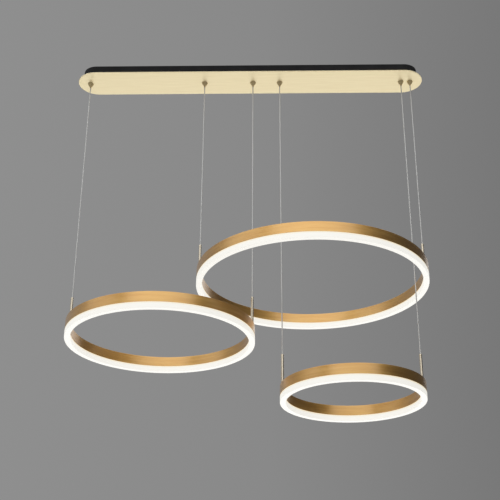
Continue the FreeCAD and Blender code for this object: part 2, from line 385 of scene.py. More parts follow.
class Bench:
    """A material's nodes, and short ways to add and join them."""

    def __init__(self, name: str) -> None:
        """Starts an empty material with a shader and an output.

        Args:
            name: the material's name.
        """
        self.material = bpy.data.materials.new(name)
        self.material.use_nodes = True
        self.tree = self.material.node_tree
        self.tree.nodes.clear()
        self.output = self.tree.nodes.new("ShaderNodeOutputMaterial")
        self.shader = self.tree.nodes.new("ShaderNodeBsdfPrincipled")
        self.join(self.shader.outputs["BSDF"], self.output.inputs["Surface"])

    def join(self, source: Socket, target: Socket) -> None:
        """Joins an output to an input."""
        self.tree.links.new(source, target)

    def feed(self, target: Socket, value: object) -> None:
        """Joins an input to an output, or sets it to a plain value.

        Args:
            target: the input.
            value: the output or the plain value.
        """
        if isinstance(value, bpy.types.NodeSocket):
            self.join(value, target)
        else:
            target.default_value = value

    def set(self, **values: object) -> None:
        """Sets the shader's own sockets.

        Args:
            values: their values, by their names with spaces written as underscores.
        """
        for name, value in values.items():
            socket = self.shader.inputs[name.replace("_", " ")]
            socket.default_value = (*value, 1.0) if isinstance(value, tuple) else value

    def math(self, operation: str, first: object, second: object = 0.0) -> Socket:
        """A sum of two values.

        Args:
            operation: the sum's name.
            first: its first value, or the output that gives it.
            second: its second value.

        Returns:
            The output that gives the result.
        """
        node = self.tree.nodes.new("ShaderNodeMath")
        node.operation = operation
        self.feed(node.inputs[0], first)
        self.feed(node.inputs[1], second)
        return node.outputs[0]

    def place(self, x: float = 0.0) -> tuple[Socket, ...]:
        """The surface point's place in the piece's own frame.

        Args:
            x: where X is counted from, in metres.

        Returns:
            The outputs that give its X, Y and Z.
        """
        source = self.tree.nodes.new("ShaderNodeTexCoord")
        mapping = self.tree.nodes.new("ShaderNodeMapping")
        mapping.inputs["Location"].default_value = (-x, 0.0, 0.0)
        self.join(source.outputs["Object"], mapping.inputs["Vector"])
        split = self.tree.nodes.new("ShaderNodeSeparateXYZ")
        self.join(mapping.outputs["Vector"], split.inputs[0])
        return tuple(split.outputs)

    def vector(self, x: object, y: object, z: object) -> Socket:
        """A vector of three values.

        Args:
            x: its X, or the output that gives it.
            y: its Y.
            z: its Z.

        Returns:
            The output that gives the vector.
        """
        node = self.tree.nodes.new("ShaderNodeCombineXYZ")
        for target, value in zip(node.inputs, (x, y, z)):
            self.feed(target, value)
        return node.outputs[0]

    def noise(self, at: Socket, scale: float = 1.0, detail: float = 3.0) -> Socket:
        """Noise at a vector.

        Args:
            at: the vector.
            scale: how many times it changes along a length of 1.
            detail: how many finer layers it has.

        Returns:
            The output that gives it, from 0 to 1.
        """
        node = self.tree.nodes.new("ShaderNodeTexNoise")
        node.inputs["Scale"].default_value = scale
        node.inputs["Detail"].default_value = detail
        self.join(at, node.inputs["Vector"])
        return node.outputs["Fac"]

    def blend(self, value: Socket, reach: tuple[float, float], first: Colour, last: Colour) -> Socket:
        """A colour that follows a value.

        Args:
            value: the value.
            reach: the two values that the two colours stand at.
            first: the colour at the lower one.
            last: the colour at the higher one.

        Returns:
            The output that gives the colour.
        """
        node = self.tree.nodes.new("ShaderNodeValToRGB")
        for element, position, colour in zip(node.color_ramp.elements, reach, (first, last)):
            element.position = position
            element.color = (*colour, 1.0)
        self.join(value, node.inputs[0])
        return node.outputs["Color"]

    def span(self, value: Socket, low: float, high: float) -> Socket:
        """A value from 0 to 1, stretched to run from low to high."""
        return self.math("ADD", self.math("MULTIPLY", value, high - low), low)

    def bump(self, height: Socket, strength: float, depth: float) -> None:
        """Gives the surface a fine relief.

        Args:
            height: its height, from 0 to 1.
            strength: how strongly it shows, from 0 to 1.
            depth: how deep it is, in metres.
        """
        node = self.tree.nodes.new("ShaderNodeBump")
        node.inputs["Strength"].default_value = strength
        node.inputs["Distance"].default_value = depth
        self.join(height, node.inputs["Height"])
        self.join(node.outputs["Normal"], self.shader.inputs["Normal"])

    def colour(self, source: Socket) -> None:
        """Feeds the shader's base colour."""
        self.join(source, self.shader.inputs["Base Color"])

    def roughness(self, source: Socket) -> None:
        """Feeds the shader's roughness."""
        self.join(source, self.shader.inputs["Roughness"])


class Grain(Enum):
    """Which way a metal is brushed."""

    LENGTHWISE = "along the canopy"
    ROUND = "round an upright axis"


@dataclass(frozen=True)
class BrushedMetal:
    """A brushed metal: fine lines along its grain, over slow bands of tone.

    Attributes:
        name: the finish's name.
        deep: the colour of the lines' valleys.
        light: the colour of their crests.
        grain: which way the lines run.
        metallic: how far it shines as bare metal does, from 0 to 1.
        smoothest: the least roughness.
        roughest: the greatest roughness.
        band: how many lines make one band of tone.
        coat: how much of a clear hard skin lies over it, from 0 to 1, as on an anodised metal.
        coat_roughness: the skin's roughness.
        coat_index: how strongly the skin bends light.
        lines: how many lines lie across a metre.
        streak: how many times a line changes along a metre.
        evenness: how far the bands' noise is drawn out.
        relief: the depth of the lines, in metres.
        relief_strength: how strongly they show, from 0 to 1.
    """

    name: str
    deep: Colour
    light: Colour
    grain: Grain
    metallic: float
    smoothest: float
    roughest: float
    band: float = 8.0
    coat: float = 0.0
    coat_roughness: float = 0.26
    coat_index: float = 1.8
    lines: float = 2600.0
    streak: float = 22.0
    evenness: float = 0.6
    relief: float = 0.00003
    relief_strength: float = 0.35

    def grain_places(self, bench: Bench, x: float) -> tuple[Socket, Socket]:
        """Where a surface point lies among the lines and among the bands.

        Args:
            bench: the material's nodes.
            x: the axis that a round grain runs about, in metres.

        Returns:
            The outputs that give both places.
        """
        px, py, pz = bench.place(x)
        along = bench.math("MULTIPLY", px, self.streak)
        if self.grain is Grain.ROUND:
            squares = bench.math("ADD", bench.math("POWER", px, 2.0), bench.math("POWER", py, 2.0))
            across = bench.math("ADD", bench.math("SQRT", squares), pz)
            other = bench.math("MULTIPLY", py, self.streak)
            fine = bench.vector(along, other, bench.math("MULTIPLY", across, self.lines))
            broad = bench.vector(along, other, bench.math("MULTIPLY", across, self.lines / self.band))
        else:
            across = bench.math("MULTIPLY", py, self.lines)
            fine = bench.vector(along, across, bench.math("MULTIPLY", pz, self.lines))
            broad = bench.vector(along, bench.math("MULTIPLY", py, self.lines / self.band), 0.0)
        return fine, broad

    def material(self, x: float = 0.0) -> Material:
        """Makes the finish.

        Args:
            x: the axis that a round grain runs about, in metres.

        Returns:
            The material.
        """
        bench = Bench(self.name)
        fine_place, broad_place = self.grain_places(bench, x)
        fine = bench.noise(fine_place)
        broad = bench.noise(broad_place, self.evenness, detail=2.0)
        tone = bench.math("MULTIPLY", bench.math("ADD", fine, broad), 0.5)
        bench.colour(bench.blend(tone, NOISE, self.deep, self.light))
        bench.roughness(bench.span(tone, self.smoothest, self.roughest))
        bench.bump(fine, self.relief_strength, self.relief)
        bench.set(
            Metallic=self.metallic,
            Coat_Weight=self.coat,
            Coat_Roughness=self.coat_roughness,
            Coat_IOR=self.coat_index,
        )
        return bench.material


@dataclass(frozen=True)
class OpalLit:
    """A lit opal plastic: white, and warmer where it leaves the gold channel.

    Attributes:
        name: the finish's name.
        body: the plastic's own colour.
        glow: the colour of its light.
        seam_glow: the warmer light beside the seam.
        strength: how strong the light is.
        seam_fade: how far the warmer light reaches down from the seam, in metres.
        cloud: how many soft clouds lie across a metre.
        cloud_shade: the clouds' tone, as a share of the body's.
        unevenness: how far the clouds shift the warm light's edge, as a share of its reach.
        grain: how many grains of the surface lie across a metre.
        relief: their depth, in metres.
        relief_strength: how strongly they show, from 0 to 1.
        roughness: the surface's roughness.
    """

    name: str
    body: Colour
    glow: Colour
    seam_glow: Colour
    strength: float
    seam_fade: float
    cloud: float = 60.0
    cloud_shade: float = 0.97
    unevenness: float = 0.08
    grain: float = 900.0
    relief: float = 0.00005
    relief_strength: float = 0.04
    roughness: float = 0.45

    def material(self, seam_height: float) -> Material:
        """Makes the finish for one ring.

        Args:
            seam_height: the height at which the plastic leaves the channel, in metres.

        Returns:
            The material.
        """
        bench = Bench(self.name)
        px, py, pz = bench.place()
        share = bench.math("DIVIDE", bench.math("SUBTRACT", seam_height, pz), self.seam_fade)
        cloud = bench.noise(bench.vector(px, py, pz), self.cloud, detail=2.0)
        uneven = bench.math("ADD", share, bench.span(cloud, -self.unevenness, self.unevenness))
        glow = bench.blend(uneven, WHOLE, self.seam_glow, self.glow)
        bench.join(glow, bench.shader.inputs["Emission Color"])
        shade = tuple(self.cloud_shade * channel for channel in self.body)
        bench.colour(bench.blend(cloud, NOISE, self.body, shade))
        grain = bench.noise(bench.vector(px, py, pz), self.grain)
        bench.bump(grain, self.relief_strength, self.relief)
        bench.set(Roughness=self.roughness, Emission_Strength=self.strength)
        return bench.material


@dataclass(frozen=True)
class GrainedCoat:
    """A powder coat, plating or moulded plastic: one tone with a fine orange-peel relief.

    Attributes:
        name: the finish's name.
        deep: its darker tone.
        light: its lighter tone.
        metallic: how far it shines as bare metal does, from 0 to 1.
        smoothest: the least roughness.
        roughest: the greatest roughness.
        peel: how many bumps of the relief lie across a metre.
        relief: their depth, in metres.
        cloud: how many clouds of tone lie across a metre.
        shine: the strength of its gloss, where 0.5 is a plain plastic's.
        relief_strength: how strongly the relief shows, from 0 to 1.
    """

    name: str
    deep: Colour
    light: Colour
    metallic: float
    smoothest: float
    roughest: float
    peel: float
    relief: float
    cloud: float = 30.0
    shine: float = 0.5
    relief_strength: float = 0.3

    def material(self) -> Material:
        """Makes the finish.

        Returns:
            The material.
        """
        bench = Bench(self.name)
        at = bench.vector(*bench.place())
        cloud = bench.noise(at, self.cloud, detail=4.0)
        fine = bench.noise(at, self.peel, detail=2.0)
        bench.colour(bench.blend(cloud, CLOUDS, self.deep, self.light))
        bench.roughness(bench.span(fine, self.smoothest, self.roughest))
        bench.bump(fine, self.relief_strength, self.relief)
        bench.set(Metallic=self.metallic, Specular_IOR_Level=self.shine)
        return bench.material


@dataclass(frozen=True)
class StrandedWire:
    """A stranded conductor that shows through a clear jacket: its grey strands, with a painted highlight on
    each crest and painted shade between them.

    Attributes:
        name: the finish's name.
        light: the colour of a strand's crest, the strands' grey with a painted highlight.
        painted_gap_shade: the colour between two strands, the strands' grey with painted shade.
        strands: how many strands there are.
        turns_per_metre: how often a strand goes round in a metre.
        metallic: how far it shines as bare metal does, from 0 to 1.
        roughness: the strands' roughness.
        jacket: how much of the clear jacket shows, from 0 to 1.
        jacket_roughness: the jacket's roughness.
        relief: the depth between the strands, in metres.
        relief_strength: how strongly it shows, from 0 to 1.
    """

    name: str
    light: Colour
    painted_gap_shade: Colour
    strands: int
    turns_per_metre: float
    metallic: float = 0.25
    roughness: float = 0.3
    jacket: float = 0.6
    jacket_roughness: float = 0.15
    relief: float = 0.00005
    relief_strength: float = 0.12

    def material(self, x: float) -> Material:
        """Makes the finish for one wire.

        Args:
            x: where the wire hangs along the canopy, in metres.

        Returns:
            The material.
        """
        bench = Bench(self.name)
        px, py, pz = bench.place(x)
        angle = bench.math("MULTIPLY", bench.math("ARCTAN2", py, px), float(self.strands))
        climb = bench.math("MULTIPLY", pz, 2 * pi * self.turns_per_metre)
        wave = bench.math("SINE", bench.math("ADD", angle, climb))
        # painted highlight on the strands' crests and painted shade between them, over the bump's relief
        crest = bench.span(wave, 0.5, 1.0)
        bench.colour(bench.blend(crest, WHOLE, self.painted_gap_shade, self.light))
        bench.bump(crest, self.relief_strength, self.relief)
        bench.set(
            Roughness=self.roughness,
            Metallic=self.metallic,
            Coat_Weight=self.jacket,
            Coat_Roughness=self.jacket_roughness,
        )
        return bench.material


@dataclass(frozen=True)
class BoardMask:
    """A white solder mask with rows of small yellow emitters.

    Attributes:
        name: the finish's name.
        mask: the mask's colour.
        emitter: the emitters' colour.
        per_metre: how many emitters lie along a metre.
        emitter_size: an emitter's radius, as a share of the space that it has.
        mask_roughness: the mask's roughness.
        emitter_roughness: the emitters' roughness.
    """

    name: str
    mask: Colour
    emitter: Colour
    per_metre: float
    emitter_size: float = 0.22
    mask_roughness: float = 0.35
    emitter_roughness: float = 0.6

    def material(self) -> Material:
        """Makes the finish.

        Returns:
            The material.
        """
        bench = Bench(self.name)
        node = bench.tree.nodes.new("ShaderNodeTexVoronoi")
        node.inputs["Scale"].default_value = self.per_metre
        bench.join(bench.vector(*bench.place()), node.inputs["Vector"])
        dot = bench.math("LESS_THAN", node.outputs["Distance"], self.emitter_size)
        bench.colour(bench.blend(dot, WHOLE, self.mask, self.emitter))
        bench.roughness(bench.span(dot, self.mask_roughness, self.emitter_roughness))
        return bench.material


RING_GOLD = BrushedMetal(
    "brushed ring gold", (0.64, 0.315, 0.058), (0.82, 0.495, 0.130), Grain.ROUND,
    metallic=1.0, smoothest=0.34, roughest=0.46, coat=1.0,
)
CANOPY_GOLD = BrushedMetal(
    "brushed canopy gold", (0.86, 0.73, 0.44), (0.95, 0.83, 0.54), Grain.LENGTHWISE,
    metallic=0.45, smoothest=0.34, roughest=0.48, band=10.0,
)
ROD_GOLD = BrushedMetal(
    "turned rod gold", (0.58, 0.51, 0.40), (0.67, 0.60, 0.48), Grain.ROUND,
    metallic=1.0, smoothest=0.22, roughest=0.28,
)
FITTING_BRASS = BrushedMetal(
    "turned brass", (0.60, 0.48, 0.25), (0.78, 0.63, 0.36), Grain.ROUND,
    metallic=0.4, smoothest=0.26, roughest=0.36,
)
LIT_OPAL = OpalLit(
    "lit opal", (0.42, 0.41, 0.38), glow=(1.0, 0.985, 0.93), seam_glow=(1.0, 0.86, 0.54),
    strength=0.68, seam_fade=4.0 * MM,
)
BLACK_COAT = GrainedCoat(
    "black powder coat", (0.006, 0.006, 0.007), (0.011, 0.011, 0.012),
    metallic=0.0, smoothest=0.50, roughest=0.66, peel=1400.0, relief=0.00006, shine=0.12,
)
ZINC = GrainedCoat(
    "bright zinc plate", (0.52, 0.53, 0.55), (0.66, 0.67, 0.68),
    metallic=1.0, smoothest=0.24, roughest=0.42, peel=500.0, relief=0.00002, cloud=90.0,
)
BLACK_ZINC = GrainedCoat(
    "black zinc", (0.018, 0.018, 0.020), (0.03, 0.03, 0.033),
    metallic=0.8, smoothest=0.3, roughest=0.45, peel=900.0, relief=0.00002,
)
CASE_WHITE = GrainedCoat(
    "moulded white case", (0.76, 0.76, 0.74), (0.82, 0.82, 0.80),
    metallic=0.0, smoothest=0.40, roughest=0.55, peel=1800.0, relief=0.00004,
)
NYLON = GrainedCoat(
    "natural nylon", (0.70, 0.69, 0.62), (0.78, 0.77, 0.70),
    metallic=0.0, smoothest=0.32, roughest=0.45, peel=1200.0, relief=0.00003,
)
SCREW_BRASS = GrainedCoat(
    "screw brass", (0.55, 0.40, 0.16), (0.68, 0.52, 0.24),
    metallic=1.0, smoothest=0.22, roughest=0.36, peel=700.0, relief=0.00002,
)
# strand grey: lighter with a painted highlight on the crests, darker with painted shade between strands
WIRE_CLEAR = StrandedWire(
    "clear jacketed strand", (0.66, 0.66, 0.65), (0.57, 0.57, 0.56), strands=7, turns_per_metre=95.0
)
SOLDER_MASK = BoardMask("white solder mask", (0.82, 0.82, 0.80), (0.85, 0.62, 0.10), per_metre=120.0)


def dress(piece: Piece, material: Material) -> None:
    """Gives a piece, or a carried CAD node, one material."""
    piece.data.materials.clear()
    piece.data.materials.append(material)


def hand_over(piece: Piece, material: Material, body: str, node: str = "") -> None:
    """Dresses a finished piece, says what it is in the part, and reports it.

    Args:
        piece: the finished piece.
        material: its material.
        body: the body that it rides on.
        node: the CAD node that it stands for, or nothing where it is a detail of another piece.
    """
    dress(piece, material)
    if node:
        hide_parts(node)
    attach(piece, body)
    LOG.info("%s rides on %s, %d faces", piece.name, body, len(piece.data.polygons))


# ---------------------------------------------------------------------------------------------
# Sub-assemblies, with their sizes in millimetres
# ---------------------------------------------------------------------------------------------


@dataclass
class LitRing:
    """One lit ring: its gold channel, its opal diffuser, its boards and its two rods.

    Attributes:
        name: the ring's name.
        width: the ring's width, from inside to outside.
        wall: the thickness of the channel's walls.
        roof: the thickness of its roof.
        channel_rounding: how far its edges are rounded.
        tongue: how far the diffuser's tongue goes up between the walls.
        tongue_room: the gap between the tongue and each wall.
        diffuser_rounding: how far the diffuser's edges are rounded.
        sides: how many sides the ring's circles have.
        foot: the chamfer at a rod's foot.
        rod_groove: the groove near a rod's mouth.
        groove_drop: how far its lower edge lies under the mouth.
        mouth: points of the mouth's rounding, each as how far in from the side and down from the end.
        socket_radius: the radius of the wire's socket.
        socket_depth: how deep it is.
        socket_lead: the width and depth of its lead-in.
    """

    name: str
    width: float = 12.0
    wall: float = 1.2
    roof: float = 2.0
    channel_rounding: float = 0.35
    tongue: float = 4.0
    tongue_room: float = 0.1
    diffuser_rounding: float = 0.6
    sides: int = 288
    foot: float = 0.2
    rod_groove: Groove = Groove(0.3)
    groove_drop: float = 5.2
    mouth: tuple[tuple[float, float], ...] = ((0.0, 1.2), (0.35, 0.4), (0.95, 0.0))
    socket_radius: float = 1.35
    socket_depth: float = 5.0
    socket_lead: tuple[float, float] = (0.2, 0.3)

    def __post_init__(self) -> None:
        """Reads the ring's place and size from the frame."""
        low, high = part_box("channel_" + self.name)
        self.centre = (low.x + high.x) / 2
        self.outside = (high.x - low.x) / 2 / MM
        self.inside = self.outside - self.width
        self.seam = low.z / MM
        self.top = high.z / MM
        self.lit_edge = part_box("diffuser_" + self.name)[0].z / MM
        rod_low, rod_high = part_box("rods_" + self.name)
        self.rod_radius = (rod_high.y - rod_low.y) / 2 / MM
        self.rod_top = rod_high.z / MM
        self.rod_places = (rod_low.x + self.rod_radius * MM, rod_high.x - self.rod_radius * MM)
        self.body = self.name + "_ring"

    def channel(self) -> None:
        """The U channel, its edges lightly rounded."""
        wall_inside, wall_outside = self.inside + self.wall, self.outside - self.wall
        roof = self.top - self.roof
        stations = [
            Station(self.inside, self.seam),
            Station(self.inside, self.top),
            Station(self.outside, self.top),
            Station(self.outside, self.seam),
            Station(wall_outside, self.seam),
            Station(wall_outside, roof),
            Station(wall_inside, roof),
            Station(wall_inside, self.seam),
            Station(self.inside, self.seam),
        ]
        piece = turned("ring_channel_" + self.name, self.centre, stations, self.sides)
        round_edges(piece, self.channel_rounding * MM)
        smooth(piece)
        hand_over(piece, RING_GOLD.material(self.centre), self.body, "channel_" + self.name)

    def diffuser(self) -> None:
        """The opal bar with rounded lower edges, and the tongue that snaps into the channel."""
        inner_tongue = self.inside + self.wall + self.tongue_room
        outer_tongue = self.outside - self.wall - self.tongue_room
        stations = [
            Station(self.inside, self.seam),
            Station(inner_tongue, self.seam),
            Station(inner_tongue, self.seam + self.tongue),
            Station(outer_tongue, self.seam + self.tongue),
            Station(outer_tongue, self.seam),
            Station(self.outside, self.seam),
            Station(self.outside, self.lit_edge),
            Station(self.inside, self.lit_edge),
            Station(self.inside, self.seam),
        ]
        piece = turned("ring_diffuser_" + self.name, self.centre, stations, self.sides)
        round_edges(piece, self.diffuser_rounding * MM, segments=4)
        smooth(piece)
        hand_over(piece, LIT_OPAL.material(self.seam * MM), self.body, "diffuser_" + self.name)

    def rods(self) -> None:
        """The two hanger rods, with a rounded mouth for the wire and a fine groove near it."""
        foot = self.top - self.roof
        lead_width, lead_depth = self.socket_lead
        stations = [
            Station(self.rod_radius - self.foot, foot),
            Station(self.rod_radius, foot + self.foot),
            *self.rod_groove.stations(self.rod_radius, self.rod_top - self.groove_drop),
            *(Station(self.rod_radius - inwards, self.rod_top - down) for inwards, down in self.mouth),
            Station(self.socket_radius + lead_width, self.rod_top),
            Station(self.socket_radius, self.rod_top - lead_depth),
            Station(self.socket_radius, self.rod_top - self.socket_depth),
        ]
        pattern = turned("rod", 0.0, stations)
        for side, x in zip(SIDES, self.rod_places):
            piece = copied(pattern, f"hanger_rod_{self.name}_{side}", Vector((x, 0, 0)))
            smooth(piece, flatter_than=50)
            hand_over(piece, ROD_GOLD.material(x), self.body, "rods_" + self.name)
        discard(pattern)

    def boards(self) -> None:
        """Dresses the LED boards inside the channel."""
        dress(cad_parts["led_boards_" + self.name], SOLDER_MASK.material())

    def build(self) -> None:
        """Builds the whole ring."""
        self.channel()
        self.diffuser()
        self.rods()
        self.boards()


@dataclass
class Suspension:
    """What one ring hangs from: two wires, their grippers, and the grippers' release plungers.

    Attributes:
        name: the ring's name.
        thread_radius: the radius of a gripper's thread.
        thread_pitch: the height of one of its rings.
        thread_depth: how deep they are.
        thread_point: the width and height of the chamfer at its end.
        rim: the height of the straight rim at a cone's top.
        rim_edge: the rim's chamfer against the plate.
        tip_radius: the radius of a cone's tip.
        tip_edge: the tip's chamfer.
        bore: the radius of the bore that the plunger slides in.
        sleeve_bore: the radius of the plunger's bore, which the wire runs through.
        sleeve_edge: the chamfer of the plunger's lip, outside.
        sleeve_lead: its chamfer inside.
        sleeve_groove: the groove above the lip.
        groove_rise: how far its lower edge lies above the plunger's end.
        bend: how far above the rod's mouth the wire's end part reaches.
        bend_steps: how many rings of points that end part has.
        wire_sides: how many sides a wire has.
    """

    name: str
    thread_radius: float = 5.0
    thread_pitch: float = 1.0
    thread_depth: float = 0.45
    thread_point: tuple[float, float] = (0.6, 1.0)
    rim: float = 0.6
    rim_edge: float = 0.15
    tip_radius: float = 3.1
    tip_edge: float = 0.25
    bore: float = 2.38
    sleeve_bore: float = 1.35
    sleeve_edge: float = 0.35
    sleeve_lead: float = 0.2
    sleeve_groove: Groove = Groove(0.4)
    groove_rise: float = 1.2
    bend: float = 4.0
    bend_steps: int = 8
    wire_sides: int = 14

    def __post_init__(self) -> None:
        """Reads the fittings' places and sizes from the frame."""
        wire_low, wire_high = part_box("wires_" + self.name)
        self.wire_radius = (wire_high.y - wire_low.y) / 2 / MM
        self.places = (wire_low.x + self.wire_radius * MM, wire_high.x - self.wire_radius * MM)
        self.wire_low = wire_low.z / MM
        self.wire_high = wire_high.z / MM
        low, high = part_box("grippers_" + self.name)
        self.cone_radius = (high.y - low.y) / 2 / MM
        self.tip = low.z / MM
        self.thread_top = high.z / MM
        self.plate_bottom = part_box("canopy_plate")[0].z / MM
        sleeve_low, sleeve_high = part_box(f"plunger_{self.name}_left")
        self.sleeve_radius = (sleeve_high.y - sleeve_low.y) / 2 / MM
        self.sleeve_low = sleeve_low.z / MM
        self.sleeve_high = sleeve_high.z / MM
        self.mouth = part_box("rods_" + self.name)[1].z / MM

    def grippers(self) -> None:
        """The grippers: a cone with a short rim under the plate, and its thread up through the canopy."""
        stations = [
            Station(self.bore, self.tip),
            Station(self.tip_radius - self.tip_edge, self.tip),
            Station(self.tip_radius, self.tip + self.tip_edge),
            Station(self.cone_radius, self.plate_bottom - self.rim),
            Station(self.cone_radius, self.plate_bottom - self.rim_edge),
            Station(self.cone_radius - self.rim_edge, self.plate_bottom),
            Station(self.thread_radius, self.plate_bottom),
        ]
        height = self.plate_bottom + 0.5 * self.thread_pitch
        while height < self.thread_top - 1.5 * self.thread_pitch:
            stations.append(Station(self.thread_radius, height))
            stations.append(Station(self.thread_radius - self.thread_depth, height + 0.5 * self.thread_pitch))
            height += self.thread_pitch
        point_width, point_height = self.thread_point
        stations += [
            Station(self.thread_radius, self.thread_top - point_height),
            Station(self.thread_radius - point_width, self.thread_top),
            Station(self.bore, self.thread_top),
            Station(self.bore, self.tip),
        ]
        pattern = turned("gripper", 0.0, stations)
        for side, x in zip(SIDES, self.places):
            piece = copied(pattern, f"gripper_{self.name}_{side}", Vector((x, 0, 0)))
            smooth(piece, flatter_than=32)
            hand_over(piece, FITTING_BRASS.material(x), CANOPY_BODY, "grippers_" + self.name)
        discard(pattern)

    def plungers(self) -> None:
        """The release plungers: sleeves with a rounded lip, round the wires."""
        low, lead = self.sleeve_low, self.sleeve_lead
        stations = [
            Station(self.sleeve_bore, low + lead),
            Station(self.sleeve_bore + lead, low),
            Station(self.sleeve_radius - self.sleeve_edge, low),
            Station(self.sleeve_radius, low + self.sleeve_edge),
            *self.sleeve_groove.stations(self.sleeve_radius, low + self.groove_rise),
            Station(self.sleeve_radius, self.sleeve_high),
            Station(self.sleeve_bore, self.sleeve_high),
            Station(self.sleeve_bore, low + lead),
        ]
        pattern = turned("plunger", 0.0, stations, sides=36)
        for side, x in zip(SIDES, self.places):
            piece = copied(pattern, f"release_plunger_{self.name}_{side}", Vector((x, 0, 0)))
            smooth(piece, flatter_than=40)
            body, node = f"release_{self.name}_{side}", f"plunger_{self.name}_{side}"
            hand_over(piece, FITTING_BRASS.material(x), body, node)
        discard(pattern)

    def wires(self) -> None:
        """The wires: a long straight part down to a little above the rod's mouth, and a short straight end
        part below it.
        """
        wires, ring = self.name + "_wires", self.name + "_ring"
        bend_top = self.mouth + self.bend
        steps = [self.mouth + self.bend * step / self.bend_steps for step in range(self.bend_steps + 1)]
        long_part = (bend_top, self.sleeve_low, self.wire_high)
        self.wire_parts("wire", long_part, (CANOPY_BODY, self.sleeve_low), (wires, bend_top))
        self.wire_parts("wire_end", (self.wire_low, *steps), (wires, bend_top), (ring, self.mouth))

    def wire_parts(
        self, label: str, heights: Sequence[float], upper: tuple[str, float], lower: tuple[str, float]
    ) -> None:
        """One part of both wires, a straight tube copied to each side.

        Args:
            label: what the part is, for the pieces' names.
            heights: where its rings of points lie, from the lowest up.
            upper: the body at its upper end, whose name is only logged, and a height that is not used.
            lower: the body at its lower end, whose name is only logged, and a height that is not used.
        """
        stations = [Station(self.wire_radius, height) for height in heights]
        pattern = turned(label, 0.0, stations, self.wire_sides)
        for side, x in zip(SIDES, self.places):
            piece = copied(pattern, f"{label}_{self.name}_{side}", Vector((x, 0, 0)))
            smooth(piece, flatter_than=50)
            dress(piece, WIRE_CLEAR.material(x))
            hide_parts("wires_" + self.name)
            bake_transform(piece)
            LOG.info("%s bends between %s and %s", piece.name, upper[0], lower[0])
        discard(pattern)

    def build(self) -> None:
        """Builds both sides."""
        self.grippers()
        self.plungers()
        self.wires()


@dataclass
class Canopy:
    """The canopy: its gold plate, black tray, ceiling bracket, nuts and lock screws.

    Attributes:
        rim_rounding: how far the plate's edges are rounded.
        plate_sides: how many sides the circle has that its round ends come from.
        hole_radius: the radius of its holes for the grippers, and of the nuts' bores.
        nut_chamfer: the height of a nut's chamfers.
        nut_face: how far inside its flats a nut's round end face starts.
        nut_margin: how far the shape that chamfers a nut stands out past it, at the corners and the ends.
        shank_radius: the radius of a lock screw's shank.
        shank_reach: how far the shank goes past the bracket's outer face.
        dome: points of a lock screw's head, as shares of its radius and its height.
        key_radius: the radius of its hexagon socket, over the corners.
        key_depth: how deep the socket is.
    """

    rim_rounding: float = 0.55
    plate_sides: int = 128
    hole_radius: float = 5.05
    nut_chamfer: float = 0.7
    nut_face: float = 0.2
    nut_margin: tuple[float, float] = (0.1, 0.01)
    shank_radius: float = 2.0
    shank_reach: float = 3.0
    dome: tuple[tuple[float, float], ...] = ((1.0, 0.35), (0.92, 0.65), (0.76, 0.88), (0.55, 1.0))
    key_radius: float = 1.44
    key_depth: float = 1.3

    def __post_init__(self) -> None:
        """Reads where the grippers stand."""
        self.places = sorted(x for name in RING_NAMES for x in Suspension(name).places)

    def plate(self) -> None:
        """The cover plate: its edges rounded, with a hole for each gripper."""
        low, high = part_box("canopy_plate")
        piece = obround("cover_plate", high.x - low.x, high.y - low.y, low.z, high.z, self.plate_sides)
        round_edges(piece, self.rim_rounding * MM, segments=4, sharper_than=60)
        middle = (low.z + high.z) / 2
        cut(piece, [peg(Vector((x, 0, middle)), self.hole_radius * MM, THROUGH) for x in self.places])
        smooth(piece)
        hand_over(piece, CANOPY_GOLD.material(), CANOPY_BODY, "canopy_plate")

    def nuts(self) -> None:
        """The hexagon nuts in the tray, each with chamfered corners."""
        low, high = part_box("gripper_nuts")
        flats = self.places[0] - low.x
        corner = flats / cos(pi / 6)
        middle = Vector((0, 0, (low.z + high.z) / 2))
        pattern = peg(middle, corner, high.z - low.z, sides=6)
        face = flats / MM - self.nut_face
        past_corner, past_end = self.nut_margin
        barrel = [
            Station(face, low.z / MM - past_end),
            Station(corner / MM + past_corner, low.z / MM + self.nut_chamfer),
            Station(corner / MM + past_corner, high.z / MM - self.nut_chamfer),
            Station(face, high.z / MM + past_end),
        ]
        cut(pattern, [turned("barrel", 0.0, barrel, sides=64)], Cut.KEEP)
        cut(pattern, [peg(middle, self.hole_radius * MM, THROUGH)])
        for number, x in enumerate(self.places, 1):
            piece = copied(pattern, f"gripper_nut_{number}", Vector((x, 0, 0)))
            smooth(piece, flatter_than=30)
            hand_over(piece, ZINC.material(), CANOPY_BODY, "gripper_nuts")
        discard(pattern)

    def lock_screws(self) -> None:
        """The two screws in the tray's round ends: domed heads with a hexagon socket."""
        low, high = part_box("lock_screws")
        radius = (high.y - low.y) / 2 / MM
        head_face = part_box("canopy_tray")[1].x
        head = (high.x - head_face) / MM
        tip = (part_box("ceiling_bracket")[1].x - head_face) / MM - self.shank_reach
        stations = [
            Station(self.shank_radius, tip),
            Station(self.shank_radius, 0.0),
            Station(radius, 0.0),
            *(Station(radius * out, head * up) for out, up in self.dome),
        ]
        pattern = turned("lock screw", 0.0, stations)
        key = peg(Vector((0, 0, head * MM)), self.key_radius * MM, 2 * self.key_depth * MM, sides=6)
        cut(pattern, [key])
        for side, label in zip((-1, 1), SIDES):
            place = Vector((side * head_face, 0, (low.z + high.z) / 2))
            piece = copied(pattern, "lock_screw_" + label, place, Euler((0, side * pi / 2, 0)))
            smooth(piece, flatter_than=35)
            hand_over(piece, BLACK_ZINC.material(), CANOPY_BODY, "lock_screws")
        discard(pattern)

    def carried(self) -> None:
        """Dresses the CAD nodes that stay as they are."""
        dress(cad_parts["canopy_tray"], BLACK_COAT.material())
        dress(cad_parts["ceiling_bracket"], ZINC.material())

    def build(self) -> None:
        """Builds the whole canopy."""
        self.plate()
        self.nuts()
        self.lock_screws()
        self.carried()


